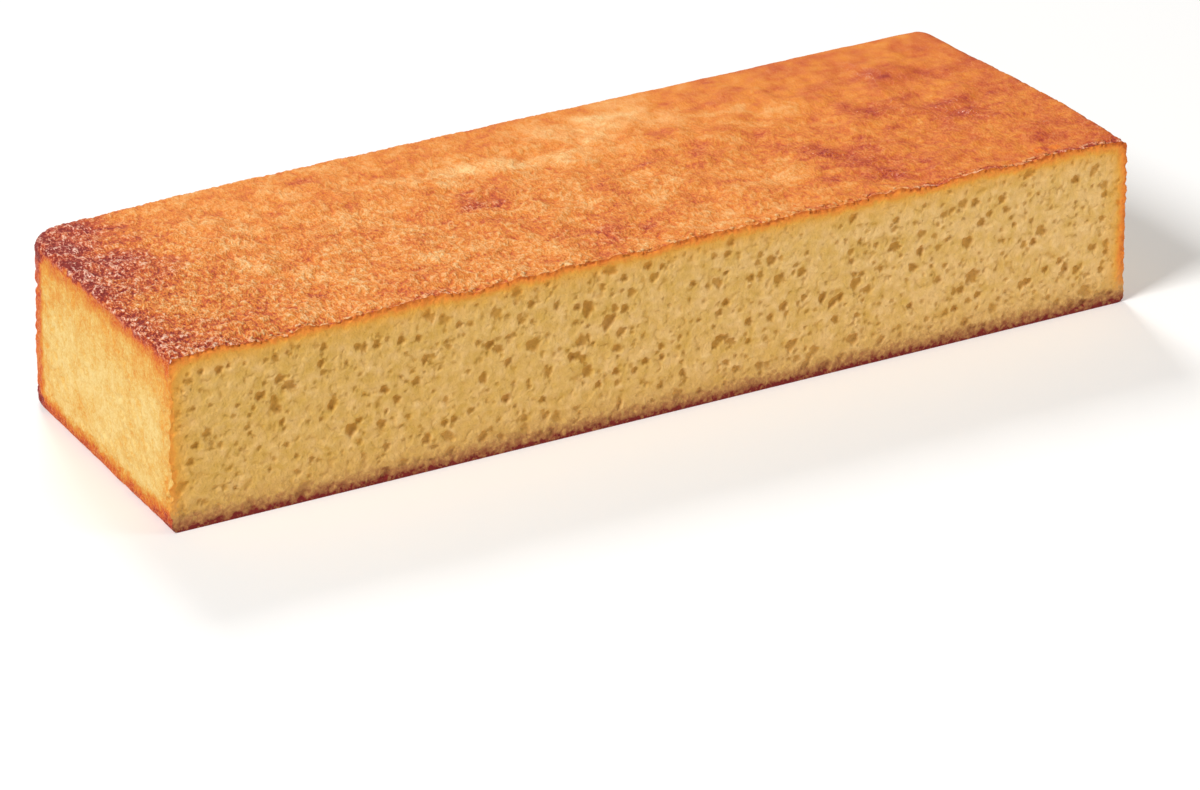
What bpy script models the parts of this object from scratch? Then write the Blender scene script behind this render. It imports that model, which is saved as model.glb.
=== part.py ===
"""Sheet cake: the long half of a 13 by 9 inch tray cake, cut down its middle.

Metres, +Z up. The slab lies along X and rests on Z = 0. Its cut face is one flat plane that looks
along -Y, and its baked back looks along +Y. It is solid throughout: one piece, one object.
"""

import itertools
import math
import random

import bmesh
import bpy
from mathutils import Matrix, Vector, noise

MM = 0.001
SHARP_ANGLE = math.radians(40)

# Driving dimensions of the slab
LENGTH = 330 * MM
WIDTH_LEFT = 108.4 * MM  # the cut wanders a little, so the right end is the wider one
WIDTH_RIGHT = 112.8 * MM
HEIGHT_CUT = 55.8 * MM
HEIGHT_BACK = 56.4 * MM
FOOT_FLARE = 1.4 * MM  # how far the baked walls lean out between shoulder and foot
DRAWN_IN = 3.8 * MM  # how far the back right corner lies inside a square one
SUNK = 1.3 * MM  # how far the back left corner has sunk

# Rounded edges
CORNER_RADIUS_LEFT = 15.5 * MM  # upright back corners, seen from above
CORNER_RADIUS_RIGHT = 7.0 * MM
SHOULDER_LEFT = 2.2 * MM
SHOULDER_BACK = 5.5 * MM
SHOULDER_RIGHT = 6.5 * MM
SHOULDER_AT_CUT = 2.4 * MM  # the right end's shoulder sharpens to this where the knife met it
FOOT_RADIUS = 3.0 * MM
LEFT_EDGE = max(SHOULDER_LEFT, FOOT_RADIUS)

# Relief of the crust: (pitch, depth) of each layer
TOP_SWELLS = (29 * MM, 0.9 * MM)
TOP_DIMPLES = (11 * MM, 0.6 * MM)
TOP_CRUMBLE = (4 * MM, 0.5 * MM)
WALL_SWELLS = (19 * MM, 0.7 * MM)
WALL_SCALLOPS = (5 * MM, 0.55 * MM)
TOP_RELIEF_REACH = 12 * MM  # how far down the walls the top's relief dies out
BASE_RELIEF_REACH = 3 * MM  # and how near the base, which stays flat, the walls' does

# Cells of the lattice that the slab is shaped from
CELLS_LONG = 74
CELLS_WIDE = 22
CELLS_HIGH = 6
EDGE_CELLS = 2  # cells across each rounded edge

# Bubbles that the knife opened in the crumb: (count, smallest radius, largest radius, icosphere level)
BUBBLE_SIZES = (
    (20, 1.6 * MM, 2.7 * MM, 2),
    (72, 0.9 * MM, 1.5 * MM, 1),
)
BUBBLE_MARGIN = 3.5 * MM  # kept free along the face's edges
BUBBLE_GAP = 0.8 * MM  # least crumb between two bubbles
BUBBLE_SWELL = 1.3  # an uneven bubble reaches this many radii at most
BUBBLE_STRETCH = (0.8, 1.25)
BUBBLE_DEPTH = (0.7, 1.0)  # depth into the face, in radii
BUBBLE_SINK = 0.2  # a centre lies at most this many radii behind the face
BUBBLE_UNEVENNESS = (0.85, 1.12)
BUBBLE_TRIES = 200
BUBBLE_SEED = 29

# Colours, roughness
CRUST_COLOUR = (0.68, 0.24, 0.07, 1.0)
WALL_COLOUR = (0.84, 0.48, 0.15, 1.0)
CRUMB_COLOUR = (0.62, 0.40, 0.11, 1.0)
CRUST, WALL, CRUMB = range(3)  # material slots of the slab


def clear_scene():
    for old in list(bpy.data.objects):
        bpy.data.objects.remove(old, do_unlink=True)


def matte_material(name, colour, roughness):
    material = bpy.data.materials.new(name)
    material.use_nodes = True
    shader = material.node_tree.nodes["Principled BSDF"]
    shader.inputs["Base Color"].default_value = colour
    shader.inputs["Roughness"].default_value = roughness
    material.diffuse_color = colour
    return material


def stations(low, high, low_edge, high_edge, cells):
    """Places along one side: EDGE_CELLS across each rounded edge (0 for a sharp one), the rest even."""
    inner_low, inner_high = low + low_edge, high - high_edge
    places = [inner_low + (inner_high - inner_low) * i / cells for i in range(cells + 1)]
    if low_edge:
        places = [low + low_edge * i / EDGE_CELLS for i in range(EDGE_CELLS)] + places
    if high_edge:
        places += [high - high_edge * i / EDGE_CELLS for i in reversed(range(EDGE_CELLS))]
    return places


def disc_corner(a, b):
    """Maps the unit square onto the quarter disc, leaving the two inner sides where they are."""
    return a * math.sqrt(1 - b * b / 2), b * math.sqrt(1 - a * a / 2)


def smooth(low, high, value):
    """0 at low, 1 at high, and an S-curve between them."""
    t = min(max((value - low) / (high - low), 0.0), 1.0)
    return t * t * (3 - 2 * t)


def relief(place, *layers):
    """Smooth uneven height at a place, the sum of the layers."""
    return sum(depth * noise.noise(place / pitch) for pitch, depth in layers)


def width_at(x):
    return WIDTH_LEFT + (WIDTH_RIGHT - WIDTH_LEFT) * (x / LENGTH + 0.5)


def height_at(depth_share):
    return HEIGHT_CUT + (HEIGHT_BACK - HEIGHT_CUT) * depth_share


def plan_point(x, y_share):
    """A lattice place seen from above: its point, the wall's outward normal and the distance to the wall."""
    half, width = LENGTH / 2, width_at(x)
    y = width * y_share
    side = math.copysign(1.0, x)
    radius = CORNER_RADIUS_RIGHT if side > 0 else CORNER_RADIUS_LEFT
    into_corner = (abs(x) - (half - radius), y - (width - radius))
    if min(into_corner) > 0:
        a, b = disc_corner(*(depth / radius for depth in into_corner))
        outward = Vector((side * a, b, 0)).normalized()
        corner = Vector((side * (half - radius), width - radius, 0))
        from_wall = radius * (1 - math.hypot(a, b))
        return corner + radius * Vector((side * a, b, 0)), outward, from_wall
    to_end, to_back = half - abs(x), width - y
    outward = Vector((side, 0, 0)) if to_end < to_back else Vector((0, 1, 0))
    return Vector((x, y, 0)), outward, min(to_end, to_back)


def shoulder_radius(outward, y_share):
    """The top edge's radius, blended round the corners. The right end sharpens towards the cut."""
    end = SHOULDER_LEFT
    if outward.x > 0:
        end = SHOULDER_AT_CUT + (SHOULDER_RIGHT - SHOULDER_AT_CUT) * y_share**2
    return end * outward.x**2 + SHOULDER_BACK * outward.y**2


def rounded(point, outward, from_wall, to_flat, radius):
    """Rounds a box edge in place, and gives the new distance to the flat side that the edge meets."""
    across, towards = 1 - from_wall / radius, 1 - to_flat / radius
    if across <= 0 or towards <= 0:
        return to_flat
    a, b = disc_corner(across, towards)
    point += outward * radius * (a - across)
    return radius * (1 - b)


def settled(point, y_share, height_share):
    """A point of the even slab, moved: one back corner is drawn in, the other has sunk."""
    back = smooth(0.3, 0.95, y_share)
    along = point.x / (LENGTH / 2)
    to_left = DRAWN_IN * back * min(max(along, 0.0), 1.0) ** 3
    down = SUNK * back * smooth(-0.5, -0.95, along) * height_share
    return point - Vector((to_left, 0, down))


def shaped(x, y_share, z_share):
    """The finished place of a lattice point, given along the slab, from cut to back, and up."""
    point, outward, from_wall = plan_point(x, y_share)
    top = height_at(y_share)
    radius = shoulder_radius(outward, y_share)
    z = top - rounded(point, outward, from_wall, top * (1 - z_share), radius)
    z = rounded(point, outward, from_wall, z, FOOT_RADIUS)
    point.z = z

    near_top = max(0.0, 1 - (top - z) / TOP_RELIEF_REACH)
    near_wall = max(0.0, 1 - from_wall / radius)
    above_base = min(1.0, z / BASE_RELIEF_REACH)
    lean = FOOT_FLARE * (1 - z / top)
    swell = lean + above_base * relief(point, WALL_SWELLS, WALL_SCALLOPS)
    rise = Vector((0, 0, near_top * relief(point, TOP_SWELLS, TOP_DIMPLES, TOP_CRUMBLE)))
    return settled(point, y_share, z / top) + rise + outward * near_wall * swell


def skin_quads(columns, rows, levels):
    """Every quad of a box lattice's skin, as (slot, corners), but for its two flat faces."""
    last_column, last_row, top = columns - 1, rows - 1, levels - 1
    for i in range(last_column):
        for j in range(last_row):
            over = [(i, j), (i + 1, j), (i + 1, j + 1), (i, j + 1)]
            yield CRUST, [(*place, top) for place in over]
            at_end = not EDGE_CELLS <= i < last_column - EDGE_CELLS
            if at_end or j >= last_row - EDGE_CELLS:
                yield WALL, [(*place, 0) for place in reversed(over)]
    for k in range(top):
        for j in range(last_row):
            upright = [(j, k), (j, k + 1), (j + 1, k + 1), (j + 1, k)]
            yield WALL, [(0, *place) for place in upright]
            yield WALL, [(last_column, *place) for place in reversed(upright)]
        for i in range(last_column):
            upright = [(i, k), (i, k + 1), (i + 1, k + 1), (i + 1, k)]
            yield WALL, [(column, last_row, level) for column, level in upright]


def rectangle_outline(columns, rows):
    """The lattice places round a rectangle, each once, in order."""
    first_column, last_column, first_row, last_row = columns[0], columns[-1], rows[0], rows[-1]
    yield from ((column, first_row) for column in columns[:-1])
    yield from ((last_column, row) for row in rows[:-1])
    yield from ((column, last_row) for column in reversed(columns[1:]))
    yield from ((first_column, row) for row in reversed(rows[1:]))


def flat_faces(columns, rows, levels):
    """The cut face and the base inside its rounded rim, each one flat face, as (slot, corners)."""
    cut = rectangle_outline(range(columns), range(levels))
    yield CRUMB, [(column, 0, level) for column, level in cut]
    inside = range(EDGE_CELLS, columns - EDGE_CELLS)
    base = rectangle_outline(inside, range(rows - EDGE_CELLS))
    yield WALL, [(column, row, 0) for column, row in reversed(list(base))]


def turned_by_place(corners):
    """The corners started one further on in every other cell, so that the diagonals alternate."""
    start = sum(min(corners)) % 2
    return corners[start:] + corners[:start]


def build_slab(materials):
    edge = SHOULDER_BACK
    xs = stations(-LENGTH / 2, LENGTH / 2, LEFT_EDGE, SHOULDER_RIGHT, CELLS_LONG)
    y_shares = stations(0, 1, 0, edge / WIDTH_LEFT, CELLS_WIDE)
    z_shares = stations(0, 1, FOOT_RADIUS / HEIGHT_CUT, edge / HEIGHT_CUT, CELLS_HIGH)
    mesh = bmesh.new()
    made = {}

    def corner(i, j, k):
        if (i, j, k) not in made:
            made[i, j, k] = mesh.verts.new(shaped(xs[i], y_shares[j], z_shares[k]))
        return made[i, j, k]

    sizes = len(xs), len(y_shares), len(z_shares)
    quads = ((slot, turned_by_place(corners)) for slot, corners in skin_quads(*sizes))
    for slot, corners in itertools.chain(quads, flat_faces(*sizes)):
        mesh.faces.new([corner(*index) for index in corners]).material_index = slot
    bmesh.ops.recalc_face_normals(mesh, faces=mesh.faces[:])

    lows = [min(vertex.co[axis] for vertex in mesh.verts) for axis in range(3)]
    highs = [max(vertex.co[axis] for vertex in mesh.verts) for axis in range(3)]
    middle = Vector(((lows[0] + highs[0]) / 2, (lows[1] + highs[1]) / 2, 0))
    bmesh.ops.translate(mesh, verts=mesh.verts[:], vec=-middle)

    slab = new_object("sheet_cake", mesh, materials)
    slab.data.shade_smooth()
    slab.data.set_sharp_from_angle(angle=SHARP_ANGLE)
    return slab, -middle


def new_object(name, mesh, materials):
    data = bpy.data.meshes.new(name)
    mesh.to_mesh(data)
    mesh.free()
    for material in materials:
        data.materials.append(material)
    made = bpy.data.objects.new(name, data)
    bpy.context.collection.objects.link(made)
    return made


def scattered_bubbles():
    """(x, z, radius, level) of each bubble on the cut face, the largest first, none touching."""
    draw = random.Random(BUBBLE_SEED)
    placed = []
    for count, smallest, largest, level in BUBBLE_SIZES:
        for _ in range(count):
            radius = smallest + (largest - smallest) * draw.random() ** 2
            reach = BUBBLE_MARGIN + radius
            for _ in range(BUBBLE_TRIES):
                x = draw.uniform(-LENGTH / 2 + reach, LENGTH / 2 - reach)
                z = draw.uniform(reach, HEIGHT_CUT - reach)
                gaps = (
                    math.hypot(x - x2, z - z2) - BUBBLE_SWELL * (radius + radius2)
                    for x2, z2, radius2, _ in placed
                )
                if all(gap > BUBBLE_GAP for gap in gaps):
                    placed.append((x, z, radius, level))
                    break
    return placed


def build_bubble_cutter(shift, materials):
    """One helper that holds every bubble as an uneven ball half sunk into the cut face."""
    draw = random.Random(BUBBLE_SEED + 1)
    mesh = bmesh.new()
    for x, z, radius, level in scattered_bubbles():
        stretch = draw.uniform(*BUBBLE_STRETCH)
        squash = Matrix.Diagonal((stretch, draw.uniform(*BUBBLE_DEPTH), 1 / stretch, 1))
        turn = Matrix.Rotation(draw.uniform(0, math.pi), 4, "Y")
        centre = Vector((x, radius * draw.uniform(0, BUBBLE_SINK), z)) + shift
        place = Matrix.Translation(centre)
        ball = bmesh.ops.create_icosphere(
            mesh, subdivisions=level, radius=radius, matrix=place @ turn @ squash
        )
        for vertex in ball["verts"]:
            vertex.co = centre + (vertex.co - centre) * draw.uniform(*BUBBLE_UNEVENNESS)
    bmesh.ops.recalc_face_normals(mesh, faces=mesh.faces[:])
    cutter = new_object("bubble_cutter", mesh, materials)
    cutter.hide_render = True
    cutter.display_type = "WIRE"
    return cutter


def cut_bubbles(slab, cutter):
    cut = slab.modifiers.new("bubbles", "BOOLEAN")
    cut.operation = "DIFFERENCE"
    cut.solver = "EXACT"
    cut.material_mode = "TRANSFER"
    cut.object = cutter


def main():
    clear_scene()
    crumb = matte_material("crumb", CRUMB_COLOUR, 0.9)
    materials = [
        matte_material("top_crust", CRUST_COLOUR, 0.6),
        matte_material("baked_wall", WALL_COLOUR, 0.8),
        crumb,
    ]
    slab, shift = build_slab(materials)
    cutter = build_bubble_cutter(shift, [crumb])
    cut_bubbles(slab, cutter)


main()
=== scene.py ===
"""Dresses the sheet cake's solid: browned top crust, baked walls and underside, and open crumb on the cut.

Metres, +Z up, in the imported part's own frame: the slab lies along X, its cut face looks along -Y, and it
rests on Z = 0. Every piece is a patch of one shared surface and is closed behind, so neighbours meet edge
to edge.
"""

import math
import random

import bpy
import numpy as np
from bpy.props import FloatProperty, FloatVectorProperty, IntProperty, PointerProperty
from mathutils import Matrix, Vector, noise


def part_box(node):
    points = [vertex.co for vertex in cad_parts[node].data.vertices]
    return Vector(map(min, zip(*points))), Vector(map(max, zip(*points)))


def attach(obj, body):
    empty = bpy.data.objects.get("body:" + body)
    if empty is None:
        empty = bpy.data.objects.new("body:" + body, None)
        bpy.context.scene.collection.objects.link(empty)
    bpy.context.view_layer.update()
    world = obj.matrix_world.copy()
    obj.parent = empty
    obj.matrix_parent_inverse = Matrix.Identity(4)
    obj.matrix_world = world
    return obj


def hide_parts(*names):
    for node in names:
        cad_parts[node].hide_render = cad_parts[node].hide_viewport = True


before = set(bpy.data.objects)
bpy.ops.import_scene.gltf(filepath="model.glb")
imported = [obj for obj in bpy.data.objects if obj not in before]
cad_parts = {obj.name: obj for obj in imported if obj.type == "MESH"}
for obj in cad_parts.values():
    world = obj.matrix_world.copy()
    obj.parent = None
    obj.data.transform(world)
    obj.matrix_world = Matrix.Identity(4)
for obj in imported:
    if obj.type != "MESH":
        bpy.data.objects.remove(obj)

bl_info = {
    "name": "Sheet Cake",
    "version": (1, 0, 0),
    "blender": (4, 5, 0),
    "location": "3D View > Sidebar > Cake",
    "description": "Browned crust, baked walls and open crumb for a sheet cake",
    "category": "Mesh",
}

MM = 0.001
NODE = "sheet_cake"
BODY = "root"
LOW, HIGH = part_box(NODE)
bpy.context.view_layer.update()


def srgb(red, green, blue):
    """A display colour, 0 to 255, as the linear colour that materials take."""
    shares = np.array((red, green, blue)) / 255
    return tuple(np.where(shares <= 0.04045, shares / 12.92, ((shares + 0.055) / 1.055) ** 2.4))


# ---- Settings ----


def length(name, description, millimetres):
    return FloatProperty(name=name, description=description, default=millimetres * MM, unit="LENGTH")


def colour(name, description, *display):
    return FloatVectorProperty(
        name=name, description=description, default=srgb(*display), subtype="COLOR", min=0, max=1
    )


def power(name, description, watts):
    return FloatProperty(name=name, description=description, default=watts, unit="POWER")


def in_degrees(name, description, degrees):
    return FloatProperty(name=name, description=description, default=math.radians(degrees), subtype="ANGLE")


class CakeShape(bpy.types.PropertyGroup):
    """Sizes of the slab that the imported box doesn't give."""

    wall_overhang: length("Wall overhang", "How far flare and bumps stand out past the top's edge", 1.85)
    back_overhang: length("Back overhang", "How far flare and bumps stand out at the back", 1.2)
    crown: length("Crown", "How far the top's swells rise above its mean height", 0.9)
    taper: length("Taper", "How much narrower the left end is than the right one", 4.4)
    corner_left: length("Left corner", "Radius of the upright back left corner", 15.5)
    corner_right: length("Right corner", "Radius of the upright back right corner", 7.0)
    shoulder_left: length("Left shoulder", "Radius of the top edge at the left end", 2.2)
    shoulder_back: length("Back shoulder", "Radius of the top edge at the back", 5.5)
    shoulder_right: length("Right shoulder", "Radius of the top edge at the right end, towards the back", 6.5)
    shoulder_at_cut: length("Shoulder at the cut", "Radius of the right shoulder where the knife met it", 2.4)
    drawn_in: length("Drawn in", "How far the back right corner lies inside a square one", 3.8)
    sunk: length("Sunk", "How far the back left corner has sunk", 1.3)
    foot_radius: length("Foot radius", "Radius of the bottom edge", 2.4)
    foot_flare: length("Foot flare", "How far the walls lean out towards the foot", 1.4)


class CakeRelief(bpy.types.PropertyGroup):
    """Heights of the bumps on the baked skin and in the crumb."""

    top_swell: length("Top swells", "Height of the broad swells on the top", 0.8)
    top_dimple: length("Top dimples", "Height of the dimples on the top", 1.6)
    top_crumple: length("Top crumple", "Height of the small lumps on the top", 0.8)
    top_grain: length("Top grain", "Height of the curly crumbs on the top where they are crispest", 0.8)
    wall_swell: length("Wall swells", "Height of the broad swells on the walls", 0.5)
    wall_scallop: length("Wall scallops", "Height of the scallops on the walls", 1.5)
    wall_grain: length("Wall grain", "Height of the curly crumbs on the walls where they are crispest", 0.45)
    rim_bead: length("Rim beads", "Height of the crumbly beads along the rim of the cut", 0.6)
    crumb_lump: length("Crumb lumps", "Height of the lumps between the bubbles", 0.28)
    crevice: length("Crevices", "Depth of the winding gaps between the lumps", 0.28)
    bubble_seed: IntProperty(name="Bubble seed", description="Places the bubbles of the crumb", default=7)


class CakeColours(bpy.types.PropertyGroup):
    """Colours of the bake from palest to darkest, and of the crumb."""

    wall_pale: colour("Pale wall", "Least baked spots of the walls", 232, 202, 132)
    wall_golden: colour("Golden wall", "Most of the walls", 224, 182, 100)
    wall_amber: colour("Amber wall", "Walls towards their edges", 220, 153, 64)
    wall_orange: colour("Orange wall", "Walls at their edges", 214, 128, 50)
    crust_pale: colour("Pale crust", "Palest crests of the top", 247, 204, 138)
    crust_peach: colour("Peach crust", "Crests of the top", 240, 170, 96)
    crust_orange: colour("Orange crust", "Most of the top", 229, 136, 47)
    rust: colour("Rust", "Darker patches", 211, 105, 42)
    russet: colour("Russet", "Gaps between the grains of dark patches", 186, 74, 42)
    maroon: colour("Maroon", "The darkest end", 138, 42, 34)
    # painted highlight: glints on the crests of the darkest crust
    glint_paint: colour("Painted glints", "Painted highlight on the crests of the darkest crust", 252, 210, 190)
    rosy: colour("Rosy crust", "Flushed spots of the top", 238, 150, 96)
    crumb_light: colour("Crumb crests", "Thin walls that catch the light", 255, 216, 146)
    crumb: colour("Crumb", "Body of the crumb", 239, 192, 110)
    # painted shade in the hollows of the crumb
    crumb_hollow_shade: colour("Crumb hollows", "Painted shade between the lumps of crumb", 212, 160, 74)
    crumb_olive: colour("Yellow crumb", "Yellower patches of the crumb", 224, 176, 80)
    crumb_rosy: colour("Rosy crumb", "Pinker patches of the crumb", 255, 210, 142)
    # painted shade inside the bubbles and the crevices
    pore: colour("Pore", "Inside of the bubbles", 202, 144, 58)
    # browning at the base, and painted shade over the lower part of the cut face
    crumb_brown: colour("Browned crumb", "Crumb a little above the base", 186, 128, 78)
    crumb_burnt: colour("Dark crumb", "Crumb at the base", 130, 42, 38)
    toast_light: colour("Light toast", "Crumb just under the crust", 244, 176, 74)
    toast: colour("Toast", "Crumb that meets the crust", 252, 152, 62)


class CakeStage(bpy.types.PropertyGroup):
    """Floor, light and camera."""

    floor: colour("Floor", "Plain pale floor", 250, 249, 247)
    sky_strength: FloatProperty(name="Sky", description="Strength of the even light all round", default=0.15)
    key_power: power("Key", "Power of the soft light on the left", 50)
    back_power: power("Back", "Power of the soft light behind", 15)
    fill_power: power("Fill", "Power of the soft light in front", 3.2)
    view_turn: in_degrees("View turn", "Camera heading from +Y", -28.91)
    view_dip: in_degrees("View dip", "Camera tilt below level", 25.97)
    lens: FloatProperty(name="Lens", description="Focal length", default=161.2, subtype="DISTANCE_CAMERA")


# ---- The shared surface ----

UP = np.array((0.0, 0.0, 1.0))
ROLL_EXTENSION = 3 * MM  # how far the top's lattice reaches past the walls before it is rolled down
ROLL_RADIUS = 5.5 * MM  # the shoulder radius that the lattice is laid out for
ROLL_BLEND = 20 * MM  # how far in from the shoulder the lattice makes up for another radius
CLOSEST_ROWS = 0.55  # spacing of the top's rows at the cut, as a share of their mean spacing


def disc_corner(a, b):
    """Maps the unit square onto the quarter disc, leaving the two inner sides where they are."""
    return a * np.sqrt(1 - b * b / 2), b * np.sqrt(1 - a * a / 2)


def points(x, y, z):
    """Coordinates, numbers or arrays, as one array of points."""
    return np.stack(np.broadcast_arrays(x, y, z), axis=-1).astype(float)


def smooth(low, high, values):
    """0 below low, 1 above high, and an S-curve between them."""
    t = np.clip((values - low) / (high - low), 0, 1)
    return t * t * (3 - 2 * t)


class Loaf:
    """The slab's outside as one smooth surface, in terms that each piece lays a lattice over."""

    def __init__(self, shape):
        self.shape = shape
        self.front = LOW.y
        self.half = (HIGH.x - LOW.x) / 2 - shape.wall_overhang
        self.width_right = HIGH.y - LOW.y - shape.back_overhang
        self.top = HIGH.z - shape.crown

    def width(self, x):
        return self.width_right - self.shape.taper * (0.5 - x / (2 * self.half))

    def corner_radius(self, x):
        return np.where(x < 0, self.shape.corner_left, self.shape.corner_right)

    def from_left(self, place):
        return place[..., 0] + self.half

    def from_right(self, place):
        return self.half - place[..., 0]

    def from_end(self, place):
        return self.half - np.abs(place[..., 0])

    def from_cut(self, place):
        return place[..., 1] - self.front

    def from_back(self, place):
        return self.width(place[..., 0]) - self.from_cut(place)

    def below_top(self, place):
        return self.top - place[..., 2]

    def plan(self, x, y_share, extension):
        """A lattice place seen from above: its point, the wall's outward normal and the distance to the wall.

        The lattice fills the plan grown by extension, and y is measured from the cut face."""
        radius = self.corner_radius(x) + extension
        half, width = self.half + extension, self.width(x) + extension
        side = np.where(x < 0, -1.0, 1.0)
        y = y_share * width
        a = (np.abs(x) - (half - radius)) / radius
        b = (y - (width - radius)) / radius
        in_corner = (a > 0) & (b > 0)
        a, b = disc_corner(np.clip(a, 0, 1), np.clip(b, 0, 1))
        reach = np.maximum(np.hypot(a, b), 1e-9)
        to_end, to_back = half - np.abs(x), width - y
        ends = to_end < to_back
        place = np.where(
            in_corner[..., None],
            points(side * (half - radius + radius * a), width - radius + radius * b, 0),
            points(x, y, 0),
        )
        straight = points(np.where(ends, side, 0), np.where(ends, 0, 1), 0)
        normal = np.where(in_corner[..., None], points(side * a / reach, b / reach, 0), straight)
        distance = np.where(in_corner, radius * (1 - reach), np.minimum(to_end, to_back))
        return place, normal, distance

    def shoulder(self, normal, y):
        """The shoulder's radius where the wall faces that way, at y from the cut face."""
        shape = self.shape
        growth = shape.shoulder_right - shape.shoulder_at_cut
        right = shape.shoulder_at_cut + growth * (y / self.width_right) ** 2
        end = np.where(normal[..., 0] > 0, right, shape.shoulder_left)
        return end * normal[..., 0] ** 2 + shape.shoulder_back * normal[..., 1] ** 2

    def top_patch(self, u, v):
        """The top with its shoulders rolled down to where the walls begin, for u and v from 0 to 1.

        The lattice is closest along the cut, where the crust is crumbliest."""
        x = (2 * u - 1) * (self.half + ROLL_EXTENSION)
        v = v * (CLOSEST_ROWS + (1 - CLOSEST_ROWS) * v)
        place, outward, distance = self.plan(x, v, ROLL_EXTENSION)
        band = ROLL_RADIUS + ROLL_EXTENSION
        radius = self.shoulder(outward, place[..., 1])
        angle = np.clip(1 - distance / band, 0, 1) * math.pi / 2
        past_wall = distance - ROLL_EXTENSION - radius * (1 - np.sin(angle))
        fade = np.clip(1 - (distance - band) / ROLL_BLEND, 0, 1)
        shift = np.where(distance < band, past_wall, (ROLL_RADIUS - radius) * fade)
        drop = radius * (1 - np.cos(angle))
        place = place + outward * (shift + self.shape.foot_flare * drop / self.top)[..., None]
        place[..., 1] += self.front
        place[..., 2] = self.top - drop
        normal = outward * np.sin(angle)[..., None] + UP * np.cos(angle)[..., None]
        return place, normal

    def wall_patch(self, x, y_share, v):
        """A wall from the flat underside, round the foot and up to the shoulder.

        x and y_share run along the edge of the plan."""
        shape = self.shape
        place, outward, _ = self.plan(x, y_share, 0)
        foot_arc = shape.foot_radius * math.pi / 2
        rise = self.top - self.shoulder(outward, place[..., 1]) - shape.foot_radius
        along = v * (foot_arc + rise)
        angle = np.clip(along / foot_arc, 0, 1) * math.pi / 2
        z = shape.foot_radius * (1 - np.cos(angle)) + np.maximum(along - foot_arc, 0)
        out = shape.foot_flare * (1 - z / self.top) - shape.foot_radius * (1 - np.sin(angle))
        place = place + outward * out[..., None]
        place[..., 1] += self.front
        place[..., 2] = z
        normal = outward * np.sin(angle)[..., None] - UP * np.cos(angle)[..., None]
        return place, normal

    def cut_patch(self, u, v):
        """The cut face inside its shoulders and foot, with its outline's outward normal and distance."""
        shape = self.shape
        z = v * self.top
        reach = self.half + shape.foot_flare * (1 - z / self.top)
        x = (2 * u - 1) * reach
        side = np.where(x < 0, -1.0, 1.0)
        to_end = reach - np.abs(x)
        upper = v > 0.5
        to_edge = np.where(upper, self.top - z, z)
        shoulder = np.where(x < 0, shape.shoulder_left, shape.shoulder_at_cut)
        radius = np.where(upper, shoulder, shape.foot_radius)
        a, b = 1 - to_end / radius, 1 - to_edge / radius
        in_corner = (a > 0) & (b > 0)
        a, b = disc_corner(np.clip(a, 0, 1), np.clip(b, 0, 1))
        up = np.where(upper, 1.0, -1.0)
        x = np.where(in_corner, side * (reach - radius * (1 - a)), x)
        corner_z = np.where(upper, self.top - radius * (1 - b), radius * (1 - b))
        z = np.where(in_corner, corner_z, z)
        round_reach = np.maximum(np.hypot(a, b), 1e-9)
        ends = to_end < to_edge
        outline = np.where(
            in_corner[..., None],
            points(side * a / round_reach, 0, up * b / round_reach),
            points(np.where(ends, side, 0), 0, np.where(ends, 0, up)),
        )
        distance = np.where(in_corner, radius * (1 - round_reach), np.minimum(to_end, to_edge))
        return points(x, self.front, z), outline, distance

    def settled(self, place):
        """Moves points of the square slab to where a real one has them: a corner drawn in and one sunk."""
        back = smooth(0.3, 0.95, self.from_cut(place) / self.width_right)
        along = place[..., 0] / self.half
        to_left = self.shape.drawn_in * back * np.clip(along, 0, 1) ** 3
        down = self.shape.sunk * back * smooth(-0.5, -0.95, along) * place[..., 2] / self.top
        return place - points(to_left, 0, down)

    def base_patch(self, u, v):
        """The flat underside, up to where the foot's curve begins."""
        inset = self.shape.foot_flare - self.shape.foot_radius
        x = (2 * u - 1) * (self.half + inset)
        place, _, _ = self.plan(x, v, inset)
        place[..., 1] += self.front
        return place


# ---- Relief ----


def lumps(place, pitch, shift=0.0):
    """Smooth random heights from about -1 to 1, with lumps about pitch apart."""
    spots = (place.reshape(-1, 3) / pitch + shift).tolist()
    return np.array([noise.noise(spot) for spot in spots]).reshape(place.shape[:-1])


def grains(place, pitch, gap, shift=0.0):
    """Rounded grains about pitch across: 0 in the gaps between them, 1 on top."""
    wander = points(*(0.35 * lumps(place, 1.3 * pitch, shift + 9.1 * axis) for axis in range(3)))
    spots = (place.reshape(-1, 3) / pitch + wander.reshape(-1, 3) + shift).tolist()
    distances = np.array([noise.voronoi(spot)[0][:2] for spot in spots])
    between = (distances[:, 1] - distances[:, 0]).reshape(place.shape[:-1])
    return smooth(0, gap, between)


def crumbs(place, pitch, shift=0.0):
    """Curly crumbs about pitch apart, with winding gaps between them: 0 in the gaps, 1 on the crests."""
    cell = 0.6 * pitch
    wander = points(*(0.3 * cell * lumps(place, cell, shift + 9.1 * axis) for axis in range(3)))
    return smooth(-0.35, 0.35, lumps(place + wander, cell, shift))


def crispness(loaf, place, normal):
    """How crisp the skin's crumbs are, from 0 to 1: most at the left end of the top and along the rims."""
    along = loaf.from_left(place) / (2 * loaf.half)
    across = loaf.from_cut(place) / loaf.width_right
    top = 0.37 + 0.36 * smooth(0.9, 0.2, along) + 0.3 * smooth(0.24, 0.03, along + 0.06 * across)
    top = top - 0.29 * smooth(0.3, 1.0, across)
    top = np.maximum(top, 0.62 * smooth(4 * MM, 2 * MM, loaf.from_cut(place)))
    from_edge = np.minimum(loaf.below_top(place), place[..., 2])
    wall = 0.32 + 0.18 * smooth(9 * MM, 2 * MM, from_edge)
    return wall + (top - wall) * smooth(0, 0.7, normal[..., 2])


TOP_STRETCH = (1, 0.62, 1)  # the crumbs of the top are longer from front to back


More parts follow.
